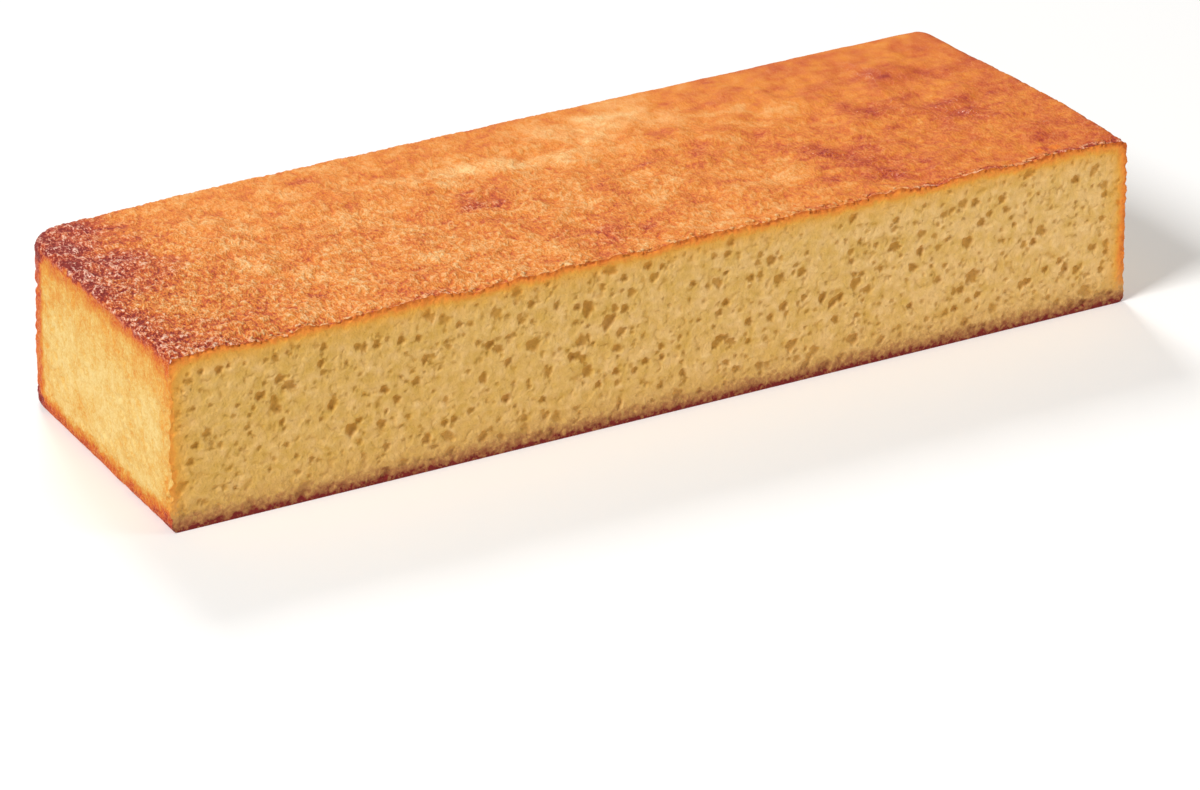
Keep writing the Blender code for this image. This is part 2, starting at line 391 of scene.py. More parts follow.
def skin_grain(place, normal):
    """The curly crumbs of the skin, coarser on the top than on the walls: 0 in the gaps, 1 on the crests."""
    facing_up = smooth(0, 0.7, normal[..., 2])
    wall = crumbs(place, 1.5 * MM, 3.7)
    top = crumbs(place * TOP_STRETCH, 2.0 * MM, 1.7)
    return wall + (top - wall) * facing_up


def skin_relief(loaf, relief, place, normal):
    """How far the baked skin stands out at each point."""
    facing_up = np.clip(normal[..., 2], 0, 1)
    from_edge = np.minimum(loaf.from_end(place), loaf.from_back(place))
    calm = 0.2 + 0.8 * smooth(0, 28 * MM, from_edge)
    crisp = crispness(loaf, place, normal)
    swells = relief.top_swell * lumps(place, 29 * MM) + relief.top_dimple * lumps(place, 11 * MM, 4.3)
    top = calm * (0.5 + 0.5 * crisp) * (swells + relief.top_crumple * lumps(place, 5 * MM, 6.7))
    scallops = smooth(-0.6, 0.5, lumps(place, 2.6 * MM, 11.0)) - 0.5
    corner = smooth(0.1, 0.7, np.abs(normal[..., 0] * normal[..., 1]) * 2)
    at_cut = smooth(8 * MM, 0, loaf.from_cut(place))
    upright_edge = 0.35 + 0.65 * np.maximum(0.45 * corner, at_cut)
    uneven = np.clip(0.75 + 0.9 * lumps(place, 10 * MM, 5.9), 0.15, 1.15)
    uneven = uneven * (1 - 0.4 * smooth(0, 0.5 * loaf.half, place[..., 0]))
    wall = relief.wall_swell * lumps(place, 19 * MM, 2.1)
    wall = wall + relief.wall_scallop * upright_edge * uneven * scallops
    grain_height = relief.wall_grain + (relief.top_grain - relief.wall_grain) * smooth(0, 0.7, facing_up)
    grain = crisp**1.2 * grain_height * (skin_grain(place, normal) - 0.5)
    broad = facing_up * top + (1 - facing_up) * wall
    above_base = np.clip(place[..., 2] / (3 * MM), 0, 1)
    return above_base * (broad + grain)


BEAD_PITCH = 2.2 * MM
BEAD_GAP = -0.15  # how low the gaps between the beads lie, where a crest is 1
BEAD_REACH_ON_SKIN = 4.2 * MM  # how far from the rim of the cut the beads die out
BEAD_REACH_ON_CRUMB = 1.2 * MM


def rim_beads(relief, place, distance, upward, reach):
    """The crumbly beads along the rim of the cut, at a distance from it and dying out at reach.

    Gives each point's shift, and its bead: below 0 in a gap, 1 on a crest and 0 away from the rim."""
    upward = np.clip(upward, 0, 1)
    fade = smooth(reach, 0.3 * reach, distance) * smooth(0, 4 * MM, place[..., 2]) * (0.4 + 0.6 * upward)
    bead = np.maximum(2 * grains(place, BEAD_PITCH, 0.4, 7.3) - 1, BEAD_GAP)
    out = relief.rim_bead * fade * (bead - 0.5)
    return points(0, -out, 0.5 * out * upward), bead * fade


# ---- Making pieces ----

LATTICES = {
    # columns and rows of each piece's grid
    "top_crust": (525, 181),
    "left_wall": (380, 165),
    "right_wall": (240, 105),
    "back_wall": (590, 106),
    "open_crumb": (745, 125),
    "underside": (330, 112),
}
SEAM_DEPTH = 1.2 * MM  # how deep each seam goes before a piece steps back from its neighbour
SKIN_DRAWN_IN = 3.2 * MM  # clear of the deepest bubble, so that no skin piece shows in one
CRUMB_DRAWN_IN = 1.2 * MM
CRUST_THICKNESS = 12 * MM  # how far each piece reaches into the cake
END_THICKNESS = 18 * MM
BACK_THICKNESS = 12 * MM
CRUMB_THICKNESS = 8 * MM
BASE_THICKNESS = 4 * MM
BASE_LENGTH, BASE_WIDTH = 330 * MM, 112 * MM


def lattice_sheet(name):
    """A new flat grid under that name, as an object at the origin, and its lattice shares u and v."""
    columns, rows = LATTICES[name]
    bpy.ops.object.select_all(action="DESELECT")
    bpy.ops.mesh.primitive_grid_add(x_subdivisions=columns, y_subdivisions=rows, size=1)
    sheet = bpy.context.object
    sheet.name = sheet.data.name = name
    u, v = np.meshgrid(np.linspace(0, 1, columns + 1), np.linspace(0, 1, rows + 1))
    return sheet, u, v


def set_shape(sheet, place):
    """Moves the sheet's vertices to their places, row by row."""
    sheet.data.vertices.foreach_set("co", place.reshape(-1).astype(np.float32))
    sheet.data.update()


def set_values(sheet, **fields):
    """Stores each field as a point attribute of its name, for the materials to read."""
    for name, values in fields.items():
        stored = sheet.data.attributes.new(name, "FLOAT", "POINT")
        stored.data.foreach_set("value", values.reshape(-1).astype(np.float32))


def close_behind(sheet, inward, plane, drawn_in):
    """Closes a sheet into a solid: its rim is tucked in under the neighbours and then back to a flat face.

    inward is the direction into the cake, one of the axes, and plane is where the flat face lies on it."""
    inward = Vector(inward)
    across = Vector(1.0 if not part else 0.0 for part in inward)
    corners = np.empty(len(sheet.data.vertices) * 3, np.float32)
    sheet.data.vertices.foreach_get("co", corners)
    corners = corners.reshape(-1, 3)
    low, high = Vector(corners.min(0).tolist()), Vector(corners.max(0).tolist())
    middle, size = (low + high) / 2, high - low
    narrower = [1 - 2 * drawn_in / side if turned else 1 for side, turned in zip(size, across)]
    bpy.ops.object.mode_set(mode="EDIT")
    bpy.ops.mesh.select_mode(type="EDGE")
    bpy.ops.mesh.select_all(action="SELECT")
    bpy.ops.mesh.region_to_loop()
    bpy.ops.mesh.mark_sharp()
    bpy.ops.mesh.extrude_region_move(TRANSFORM_OT_translate={"value": inward * SEAM_DEPTH})
    bpy.ops.transform.resize(value=narrower, center_override=middle)
    bpy.ops.mesh.extrude_region_move()
    flat = [0 if part else 1 for part in inward]
    bpy.ops.transform.resize(value=flat, center_override=[plane if part else 0 for part in inward])
    bpy.ops.mesh.edge_face_add()
    bpy.ops.mesh.select_all(action="SELECT")
    bpy.ops.mesh.normals_make_consistent(inside=False)
    bpy.ops.object.mode_set(mode="OBJECT")
    bpy.ops.object.shade_smooth()


def dress(piece, material):
    """Gives a finished piece its material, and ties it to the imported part."""
    piece.data.materials.clear()
    piece.data.materials.append(material)
    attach(piece, BODY)
    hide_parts(NODE)


# ---- Materials ----


def add_node(tree, kind, inputs=None, **settings):
    """A new node with its settings, and its inputs set to values or linked from sockets."""
    made = tree.nodes.new(kind)
    for name, value in settings.items():
        setattr(made, name, value)
    for name, value in (inputs or {}).items():
        if isinstance(value, bpy.types.NodeSocket):
            tree.links.new(value, made.inputs[name])
        else:
            made.inputs[name].default_value = value
    return made


def maths(tree, operation, *values, clamp=False):
    """A maths node's result, of values that are numbers or sockets."""
    inputs = dict(enumerate(values))
    return add_node(tree, "ShaderNodeMath", inputs, operation=operation, use_clamp=clamp).outputs[0]


def times(tree, first, *others):
    """The product of values."""
    product = first
    for other in others:
        product = maths(tree, "MULTIPLY", product, other)
    return product


def weighted(tree, *pairs):
    """The sum of values, each times its share."""
    total = 0.0
    for value, share in pairs:
        total = maths(tree, "MULTIPLY_ADD", value, share, total)
    return total


def from_middle(tree, value, amount):
    """How far a value from 0 to 1 lies above 0.5, times an amount."""
    return times(tree, maths(tree, "SUBTRACT", value, 0.5), amount)


def spread(tree, value, low, high, curve="LINEAR"):
    """A value from low to high, spread over 0 to 1."""
    limits = {"Value": value, "From Min": low, "From Max": high}
    return add_node(tree, "ShaderNodeMapRange", limits, interpolation_type=curve).outputs["Result"]


def attribute(tree, name):
    return add_node(tree, "ShaderNodeAttribute", attribute_name=name).outputs["Fac"]


def noise_texture(tree, place, scale, detail, roughness, distortion=0.0):
    inputs = {"Vector": place, "Scale": scale, "Detail": detail}
    inputs.update({"Roughness": roughness, "Distortion": distortion})
    return add_node(tree, "ShaderNodeTexNoise", inputs).outputs["Fac"]


def plain_colour(tree, tint):
    made = add_node(tree, "ShaderNodeRGB").outputs["Color"]
    made.default_value = (*tint, 1)
    return made


def colour_ramp(tree, factor, stops):
    """A colour ramp through (place, colour) stops."""
    made = add_node(tree, "ShaderNodeValToRGB", {"Fac": factor})
    ramp = made.color_ramp
    while len(ramp.elements) < len(stops):
        ramp.elements.new(0.5)
    for element, (place, tint) in zip(ramp.elements, stops):
        element.position = place
        element.color = (*tint, 1)
    return made.outputs["Color"]


def mixed(tree, factor, first, second):
    """Two colours mixed: the first at factor 0 and the second at 1."""
    made = add_node(tree, "ShaderNodeMix", {"Factor": factor}, data_type="RGBA")
    tree.links.new(first, made.inputs[6])
    tree.links.new(second, made.inputs[7])
    return made.outputs[2]


def new_group(name, inputs, outputs):
    """An empty shader group with inputs {name: default, or None for a place} and outputs {name: type}."""
    tree = bpy.data.node_groups.new(name, "ShaderNodeTree")
    for socket, value in inputs.items():
        kind = "NodeSocketVector" if value is None else "NodeSocketFloat"
        made = tree.interface.new_socket(socket, in_out="INPUT", socket_type=kind)
        if value is not None:
            made.default_value = value
    for socket, kind in outputs.items():
        tree.interface.new_socket(socket, in_out="OUTPUT", socket_type=kind)
    start = tree.nodes.new("NodeGroupInput").outputs
    end = tree.nodes.new("NodeGroupOutput").inputs
    return tree, start, end


def speckle_group():
    """Fine uneven specks, as a mask from 0 to 1 that is 0.5 on average."""
    tree, start, end = new_group(
        "Speckle",
        {"Vector": None, "Pitch": 0.001, "Detail": 1.5, "Contrast": 1.0},
        {"Mask": "NodeSocketFloat"},
    )
    scale = maths(tree, "DIVIDE", 1.0, start["Pitch"])
    specks = noise_texture(tree, start["Vector"], scale, start["Detail"], 0.6)
    swing = from_middle(tree, specks, start["Contrast"])
    tree.links.new(maths(tree, "ADD", swing, 0.5, clamp=True), end["Mask"])


def grain_group():
    """Crumbs of crust, 0 in the gaps and 1 on the crests: curly, or each of one random tone with Crumble."""
    tree, start, end = new_group(
        "Grain",
        {"Vector": None, "Pitch": 0.0013, "Curl": 0.2, "Contrast": 3.6, "Crumble": 0.5},
        {"Mask": "NodeSocketFloat"},
    )
    scale = maths(tree, "DIVIDE", 1.5, start["Pitch"])
    curls = noise_texture(tree, start["Vector"], scale, 3.0, 0.55, start["Curl"])
    curled = spread(tree, from_middle(tree, curls, start["Contrast"]), -0.6, 0.6, "SMOOTHSTEP")
    cells = add_node(
        tree,
        "ShaderNodeTexVoronoi",
        {"Vector": start["Vector"], "Scale": maths(tree, "DIVIDE", 1.9, start["Pitch"]), "Smoothness": 0.3},
        feature="SMOOTH_F1",
    ).outputs["Color"]
    tone = add_node(tree, "ShaderNodeSeparateColor", {"Color": cells}).outputs["Red"]
    shares = {"Factor": start["Crumble"], "A": curled, "B": tone}
    tree.links.new(add_node(tree, "ShaderNodeMix", shares).outputs["Result"], end["Mask"])


def place_group(tree, group, **inputs):
    """A group node of that name, its inputs set or linked. Their names are written with _ for spaces."""
    named = {name.replace("_", " "): value for name, value in inputs.items()}
    return add_node(tree, "ShaderNodeGroup", named, node_tree=bpy.data.node_groups[group]).outputs


def baked_colour(tree, colours, browning, crust_share):
    """The ramps of the walls and of the top crust, and the mix of the two."""
    darkest = ((0.65, colours.rust), (0.82, colours.russet), (1.0, colours.maroon))
    wall_stops = (
        (0.0, colours.wall_pale),
        (0.16, colours.wall_golden),
        (0.33, colours.wall_amber),
        (0.50, colours.wall_orange),
    )
    crust_stops = ((0.0, colours.crust_pale), (0.22, colours.crust_peach), (0.45, colours.crust_orange))
    wall = colour_ramp(tree, browning, (*wall_stops, *darkest))
    crust = colour_ramp(tree, browning, (*crust_stops, *darkest))
    return mixed(tree, crust_share, wall, crust)


MOST_FLUSHED = 0.18  # how far the flushed spots of the light crust go to their own colour
MOST_GLINT_PAINT = 0.85  # how far the painted glints on the crests go to their colour where the crust is darkest
LIGHT_GLINT_PAINT = 0.14  # and where it is light, as a share of that
DRY_ROUGHNESS = 0.72
GLOSSY_ROUGHNESS = 0.24


def bake_group(colours):
    """Colour and roughness of baked skin from how brown it is. Crests are paler and gaps darker, as painted
    highlight and painted shade over the crumbs' relief, and dark crests get painted glints.
    """
    tree, start, end = new_group(
        "Bake",
        {"Vector": None, "Browning": 0.5, "Crust": 0, "Crest": 0.5, "Crest Depth": 0.4, "Blotch Depth": 0.2},
        {"Color": "NodeSocketColor", "Roughness": "NodeSocketFloat"},
    )
    blotches = place_group(tree, "Speckle", Vector=start["Vector"], Pitch=5 * MM, Contrast=2.2)["Mask"]
    flushes = place_group(tree, "Speckle", Vector=start["Vector"], Pitch=2.4 * MM, Contrast=3.0)["Mask"]
    # painted highlight and painted shade: crests of the relief paler, gaps browner
    crest = times(tree, maths(tree, "SUBTRACT", 0.5, start["Crest"]), start["Crest Depth"])
    blotch = from_middle(tree, blotches, start["Blotch Depth"])
    browning = maths(tree, "ADD", start["Browning"], maths(tree, "ADD", crest, blotch), clamp=True)
    baked = baked_colour(tree, colours, browning, start["Crust"])

    dark = spread(tree, start["Browning"], 0.5, 0.75)
    light_crust = maths(tree, "SUBTRACT", start["Crust"], times(tree, dark, start["Crust"]))
    flushed = times(tree, flushes, light_crust, MOST_FLUSHED)
    flushed_bake = mixed(tree, flushed, baked, plain_colour(tree, colours.rosy))

    # Painted glints: the highest crests, most of all on dark crust, are mixed towards a pale glint colour.
    glint_by_darkness = maths(tree, "MULTIPLY_ADD", dark, 1 - LIGHT_GLINT_PAINT, LIGHT_GLINT_PAINT)
    peaks = spread(tree, start["Crest"], 0.57, 0.82)
    crisp = spread(tree, start["Crest Depth"], 0.5, 0.9)
    glint_share = times(tree, glint_by_darkness, start["Crust"], peaks, crisp, MOST_GLINT_PAINT)
    glinted_bake = mixed(tree, glint_share, flushed_bake, plain_colour(tree, colours.glint_paint))

    gloss = times(tree, dark, spread(tree, start["Crest"], 0.4, 0.7))
    roughness = maths(tree, "MULTIPLY_ADD", gloss, GLOSSY_ROUGHNESS - DRY_ROUGHNESS, DRY_ROUGHNESS)
    tree.links.new(glinted_bake, end["Color"])
    tree.links.new(roughness, end["Roughness"])


def new_material(name):
    """A new material with its tree, its Object coordinates and its shader's inputs."""
    material = bpy.data.materials.new(name)
    material.use_nodes = True
    tree = material.node_tree
    place = add_node(tree, "ShaderNodeTexCoord").outputs["Object"]
    return tree, place, tree.nodes["Principled BSDF"].inputs


def bump(tree, height, distance):
    inputs = {"Height": height, "Distance": distance, "Strength": 1.0}
    return add_node(tree, "ShaderNodeBump", inputs).outputs["Normal"]


GRAIN_SHARE = 0.36  # what each size of grain adds to how far a point is crest or gap
SPECK_SHARE = 0.36
CRUMB_SHARE = 0.28
BEAD_SHARE = 0.38


def skin_material(name, pitch, depth, specular, stretch=(1, 1, 1)):
    """Baked skin. Its bake, crumbs and crispness come from the piece, and its finest grain from textures."""
    tree, place, shader = new_material(name)
    stretched = add_node(tree, "ShaderNodeMapping", {"Vector": place, "Scale": stretch}).outputs["Vector"]
    grain = place_group(tree, "Grain", Vector=stretched, Pitch=pitch)["Mask"]
    specks = place_group(tree, "Speckle", Vector=stretched, Pitch=0.34 * pitch, Contrast=3.8)["Mask"]
    fine = weighted(tree, (grain, GRAIN_SHARE), (specks, SPECK_SHARE))
    coarse = weighted(tree, (attribute(tree, "grain"), CRUMB_SHARE), (attribute(tree, "bead"), BEAD_SHARE))
    crisp = attribute(tree, "crisp")
    bake = place_group(
        tree,
        "Bake",
        Vector=place,
        Browning=attribute(tree, "browning"),
        Crust=attribute(tree, "crust"),
        Crest=maths(tree, "ADD", fine, coarse),
        Crest_Depth=maths(tree, "MULTIPLY_ADD", crisp, 1.16, -0.03),
    )
    # The same crumbs raise the bump and set the painted highlight on crests and painted shade in gaps.
    height = times(tree, fine, crisp, 1.6)
    tree.links.new(bake["Color"], shader["Base Color"])
    tree.links.new(bake["Roughness"], shader["Roughness"])
    tree.links.new(bump(tree, height, depth), shader["Normal"])
    shader["Specular IOR Level"].default_value = specular


def plain_crumb(tree, colours, specks):
    """Crumb away from the edges: painted shade in its hollows and pores, and its patches of tint."""
    shade = from_middle(tree, specks, -0.45)
    hollow_shade = maths(tree, "ADD", attribute(tree, "hollow_shade"), shade, clamp=True)
    depths = ((0.0, colours.crumb_light), (0.35, colours.crumb), (1.0, colours.crumb_hollow_shade))
    patches = ((0.0, colours.crumb_olive), (0.5, colours.crumb), (1.0, colours.crumb_rosy))
    shaded = colour_ramp(tree, hollow_shade, depths)
    tinted = mixed(tree, 0.6, shaded, colour_ramp(tree, attribute(tree, "tint"), patches))
    # painted shade: bubbles and crevices mixed towards the darker pore colour
    return mixed(tree, attribute(tree, "pore"), tinted, plain_colour(tree, colours.pore))


def toasted_crumb(tree, colours, grain, crumb):
    """The crumb toasted where it meets the crust, with painted shade in the gaps between the rim's beads."""
    toast = attribute(tree, "toast")
    beads = maths(tree, "MULTIPLY_ADD", attribute(tree, "bead"), 0.3, grain)
    # painted shade: deeper toast in the gaps between the beads, lighter on their crests
    crest = times(tree, maths(tree, "SUBTRACT", 0.6, beads), toast, 0.3)
    stops = ((0.3, colours.toast_light), (0.6, colours.toast), (1.0, colours.rust))
    toasted = colour_ramp(tree, maths(tree, "ADD", toast, crest, clamp=True), stops)
    return mixed(tree, spread(tree, toast, 0, 0.34), crumb, toasted)


def scorched_crumb(tree, colours, grain, crumb):
    """The crumb browned towards the base, with painted shade over its lower part."""
    uneven = maths(tree, "MULTIPLY_ADD", grain, -0.9, 1.45)
    burn_and_shade = maths(tree, "MINIMUM", times(tree, uneven, attribute(tree, "scorch_and_shade")), 1.0)
    stops = ((0.0, colours.crumb), (0.45, colours.crumb_brown), (1.0, colours.crumb_burnt))
    brown = colour_ramp(tree, burn_and_shade, stops)
    return mixed(tree, spread(tree, burn_and_shade, 0, 0.3, "SMOOTHSTEP"), crumb, brown)


def crumb_material(colours):
    """Sponge crumb: painted highlight on its crests and painted shade in its hollows, toasted towards the
    edges of the cut face.
    """
    tree, place, shader = new_material("Open crumb")
    specks = place_group(tree, "Speckle", Vector=place, Pitch=1.5 * MM, Contrast=2.4)["Mask"]
    grain = place_group(tree, "Grain", Vector=place, Pitch=1.9 * MM)["Mask"]
    toasted = toasted_crumb(tree, colours, grain, plain_crumb(tree, colours, specks))
    height = maths(tree, "MULTIPLY_ADD", grain, 0.4, specks)
    tree.links.new(scorched_crumb(tree, colours, grain, toasted), shader["Base Color"])
    tree.links.new(bump(tree, height, 0.22 * MM), shader["Normal"])
    shader["Roughness"].default_value = 0.8
    shader["Specular IOR Level"].default_value = 0.15


# ---- Browning ----

SCORCHES = (
    # places as shares of the length and width, half sizes, and how much darker (or paler) than around
    (0.50, 0.74, 10 * MM, 6 * MM, 0.13),
    (0.40, 0.52, 13 * MM, 9 * MM, 0.16),
    (0.55, 0.50, 8 * MM, 4 * MM, 0.17),
    (0.47, 0.13, 15 * MM, 8 * MM, 0.17),
    (0.62, 0.47, 16 * MM, 9 * MM, 0.12),
    (0.28, 0.62, 9 * MM, 5 * MM, 0.14),
    (0.22, 0.58, 6 * MM, 4 * MM, 0.12),
    (0.25, 0.13, 12 * MM, 6 * MM, 0.16),
    (0.87, 0.74, 12 * MM, 6 * MM, 0.16),
    (0.82, 0.52, 11 * MM, 7 * MM, 0.15),
    (0.75, 0.30, 20 * MM, 8 * MM, 0.17),
    (0.74, 0.13, 14 * MM, 6 * MM, 0.12),
    (0.90, 0.38, 12 * MM, 9 * MM, 0.12),
    (0.44, 0.70, 28 * MM, 10 * MM, -0.30),
    (0.58, 0.80, 22 * MM, 11 * MM, -0.24),
    (0.34, 0.26, 16 * MM, 6 * MM, -0.09),
    (0.70, 0.60, 22 * MM, 8 * MM, -0.07),
)


def scorch_spots(loaf, place):
    """Darker and paler spots of the bake, with uneven outlines."""
    bend = 5 * MM * lumps(place, 9 * MM, 5.1)
    total = 0
    for x_share, y_share, half_x, half_y, strength in SCORCHES:
        from_x = (loaf.from_left(place) - x_share * 2 * loaf.half + bend) / half_x
        from_y = (loaf.from_cut(place) - y_share * loaf.width_right + bend) / half_y
        total = total + strength * np.exp(-(from_x**2) - from_y**2)
    return total


def top_browning(loaf, place):
    """How brown the top is, from 0 for pale to 1 for nearly burnt."""
    from_left, from_right = loaf.from_left(place), loaf.from_right(place)
    wander = 10 * MM * lumps(place, 22 * MM, 5.5)
    corner = smooth(62 * MM, 0, np.hypot(from_left, 0.6 * loaf.from_back(place)) + wander)
    left = smooth(45 * MM, 4 * MM, from_left + wander)
    right = smooth(170 * MM, 0, from_right + wander)
    mottle = (
        0.08 * lumps(place, 34 * MM, 8.8)
        + 0.12 * lumps(place * (0.6, 1, 1), 15 * MM, 2.7)
        + 0.18 * lumps(place * (0.7, 1, 1), 7 * MM, 1.1)
        + 0.10 * smooth(0.3, 0.6, lumps(place * (0.5, 1, 1), 4 * MM, 9.9))
    )
    brink = 0.14 * smooth(9 * MM, 1 * MM, from_left) + 0.08 * smooth(9 * MM, 0, from_right)
    rim = smooth(4.5 * MM, 1 * MM, loaf.from_cut(place) + 1.5 * MM * lumps(place, 6 * MM, 2.9))
    edges = 0.25 * left + 0.15 * corner + 0.20 * right + brink + 0.07 * rim * (1 - left)
    return 0.40 + edges + mottle + scorch_spots(loaf, place)


def corner_browning(loaf, place, ragged):
    """Browning of the upright back corners, with a clear edge on the end walls and a soft one behind."""
    from_end, from_back = loaf.from_end(place), loaf.from_back(place)
    at_back = smooth(0.3, 0.8, from_end / (from_end + from_back + 1 * MM))
    uneven = (0.3 + 1.2 * at_back) * ragged
    to_corner = (np.hypot(from_end, from_back) + uneven) / loaf.corner_radius(place[..., 0])
    band = smooth(1.15 + 1.1 * at_back, 0.90 - 0.35 * at_back, to_corner)
    return 0.07 * smooth(1.7, 1.1, to_corner) + (0.46 - 0.10 * at_back) * band


def wall_browning(loaf, place, ragged):
    """How brown the walls are: golden, and darker towards the top crust, the upright edges and the foot."""
    below = loaf.below_top(place) + ragged
    upper = 0.16 * smooth(26 * MM, 6 * MM, below) + 0.34 * smooth(9 * MM, 1.5 * MM, below)
    foot = smooth(9 * MM, 2 * MM, place[..., 2] + ragged)
    at_cut = smooth(13 * MM, 0, loaf.from_cut(place) + ragged)
    mottle = 0.07 * lumps(place, 12 * MM, 8.1)
    return 0.11 + upper + 0.60 * foot + 0.14 * at_cut + corner_browning(loaf, place, ragged) + mottle


def skin_values(loaf, place, normal):
    """What the materials read: the skin's browning, crumbs and crispness, and how far it is top crust."""
    ragged = 1.5 * MM * lumps(place, 2.4 * MM, 6.1) + 1.2 * MM * lumps(place, 7 * MM, 3.3)
    lip = 2.4 * MM + 2.2 * MM * smooth(6 * MM, 30 * MM, loaf.from_left(place))
    crust = smooth(lip + 0.8 * MM, lip - 0.8 * MM, loaf.below_top(place) + ragged)
    wall = wall_browning(loaf, place, ragged)
    browning = wall + (top_browning(loaf, place) - wall) * crust
    return {
        "browning": browning,
        "crust": crust,
        "grain": skin_grain(place, normal),
        "crisp": crispness(loaf, place, normal),
    }


# ---- The crumb ----

BUBBLES = (
    # count, smallest and largest radius, depth as a share of the radius
    (250, 0.3 * MM, 0.5 * MM, 0.9),
    (700, 0.5 * MM, 0.85 * MM, 0.8),
    (230, 0.9 * MM, 1.6 * MM, 0.75),
    (36, 1.6 * MM, 2.3 * MM, 0.6),
)
LARGE_BUBBLE = 1.0 * MM  # about this radius, a bubble begins to show painted shade inside


def nearby(places, middle, reach):
    """The slice of sorted places that lie within reach of the middle."""
    return slice(*np.searchsorted(places, (middle - reach, middle + reach)))


def from_bubble(dx, dz, radius, stretch, turn):
    """How far points are from a bubble's middle, as a share of the way to its uneven edge."""
    a = (dx * math.cos(turn) + dz * math.sin(turn)) / (radius * stretch)
    b = (dz * math.cos(turn) - dx * math.sin(turn)) / (radius / stretch**0.5)
    bearing = np.arctan2(b, a)
    waver = 1 + 0.12 * np.sin(3 * bearing + 17 * stretch) + 0.1 * np.sin(5 * bearing + 31 * stretch)
    return np.hypot(a, b) / waver


def bubble_depths(x, z, seed):
    """Depth of the bubbles that the knife opened, over the cut face's lattice, and the large ones' mask for
    painted shade.
    """
    draw = random.Random(seed)
    xs, zs = x[0], z[:, 0]
    depth, inside = np.zeros_like(x), np.zeros_like(x)
    for count, smallest, largest, deepest in BUBBLES:
        for _ in range(count):
            radius = draw.uniform(smallest, largest)
            middle_x = draw.uniform(xs[0] + 2 * MM, xs[-1] - 2 * MM)
            middle_z = draw.uniform(zs[0] + 2 * MM, zs[-1] - 3 * MM)
            stretch = draw.uniform(0.9, 1.35)
            turn = draw.gauss(math.radians(35), math.radians(50))
            window = nearby(zs, middle_z, 2 * radius), nearby(xs, middle_x, 2 * radius)
            near = from_bubble(x[window] - middle_x, z[window] - middle_z, radius, stretch, turn)
            bowl = radius * draw.uniform(0.6, 1.0) * deepest * np.sqrt(np.clip(1 - near**3, 0, 1))
            depth[window] = np.maximum(depth[window], bowl)
            shown = smooth(0.2 * LARGE_BUBBLE, 1.2 * LARGE_BUBBLE, radius) * smooth(1.0, 0.8, near)
            inside[window] = np.maximum(inside[window], shown)
    return depth, inside


def crumb_depth(relief, place, distance):
    """How deep the cut face lies at each place, and the mask of painted shade in its bubbles and crevices."""
    inside = smooth(0.3 * MM, 2.5 * MM, distance)
    bubbles, pore = bubble_depths(place[..., 0], place[..., 2], relief.bubble_seed)
    lump = lumps(place, 3.0 * MM) + 0.2 * lumps(place, 1.4 * MM, 2.2)
    winding = smooth(0.13, 0.03, np.abs(lumps(place, 3.4 * MM, 8.2)))
    crevice = winding * smooth(0.0, 0.3, lumps(place, 2.4 * MM, 5.5))
    at_edge = smooth(0, 1.2 * MM, distance)
    depth = inside * (bubbles + relief.crevice * crevice) - at_edge * relief.crumb_lump * lump
    return depth, inside * np.maximum(0.68 * pore, 0.35 * crevice)


def crumb_values(loaf, place, depth):
    """What the crumb's material reads: toast at the edges, browning and painted shade towards the base,
    painted shade in the hollows, and tints.
    """
    ragged = 0.7 * MM * lumps(place, 2.2 * MM, 6.1)
    edges = (
        # distance from the edge, most toast at it, and how far it reaches
        (loaf.below_top(place), 0.95, 2.5 * MM),
        (loaf.from_left(place), 0.46, 2.8 * MM),
        (loaf.from_right(place), 0.78, 2.6 * MM),
    )
    above_base = place[..., 2] + 2 * ragged
    scorch_and_shade = (
        0.54 * smooth(2.8 * MM, 0, above_base)
        + 0.36 * smooth(6.5 * MM, 1 * MM, above_base)
        # painted shade: the widest term darkens the lower part of the cut face
        + 0.18 * smooth(18 * MM, 3 * MM, above_base)
    )
    patches = 0.6 * lumps(place, 5.5 * MM, 4.4) + 0.5 * lumps(place, 1.9 * MM, 7.7)
    return {
        "toast": sum(most * np.exp(-np.maximum(inward + ragged, 0) / reach) for inward, most, reach in edges),
        "scorch_and_shade": scorch_and_shade,
        # painted shade: the deeper the cut face lies, the darker the crumb
        "hollow_shade": np.clip(depth / (1.3 * MM) + 0.35, 0, 1),
        "tint": 0.30 + 0.50 * loaf.from_left(place) / (2 * loaf.half) + patches,
    }


# ---- Operators ----


def skin_piece(loaf, relief, sheet, place, normal):
    """Raises the baked relief on a sheet and stores its browning."""
    shift, bead = rim_beads(relief, place, loaf.from_cut(place), normal[..., 2], BEAD_REACH_ON_SKIN)
    raised = normal * skin_relief(loaf, relief, place, normal)[..., None]
    set_shape(sheet, loaf.settled(place) + raised + shift)
    set_values(sheet, bead=bead, **skin_values(loaf, place, normal))


class CAKE_OT_materials(bpy.types.Operator):
    """Build the node groups and materials that the pieces share"""

    bl_idname = "cake.materials"
    bl_label = "Materials"

    def execute(self, context):
        colours = context.scene.cake_colours
        speckle_group()
        grain_group()
        bake_group(colours)
        skin_material("Top crust", pitch=1.8 * MM, depth=0.5 * MM, specular=0.26, stretch=TOP_STRETCH)
        skin_material("Baked wall", pitch=1.4 * MM, depth=0.4 * MM, specular=0.2)
        crumb_material(colours)
        return {"FINISHED"}


class CAKE_OT_top_crust(bpy.types.Operator):
    """Lay the browned top crust, rolled down over its shoulders"""

    bl_idname = "cake.top_crust"
    bl_label = "Top crust"

    def execute(self, context):
        loaf, relief = Loaf(context.scene.cake_shape), context.scene.cake_relief
        sheet, u, v = lattice_sheet("top_crust")
        place, normal = loaf.top_patch(u, v)
        skin_piece(loaf, relief, sheet, place, normal)
        close_behind(sheet, (0, 0, -1), loaf.top - CRUST_THICKNESS, SKIN_DRAWN_IN)
        dress(sheet, bpy.data.materials["Top crust"])
        return {"FINISHED"}


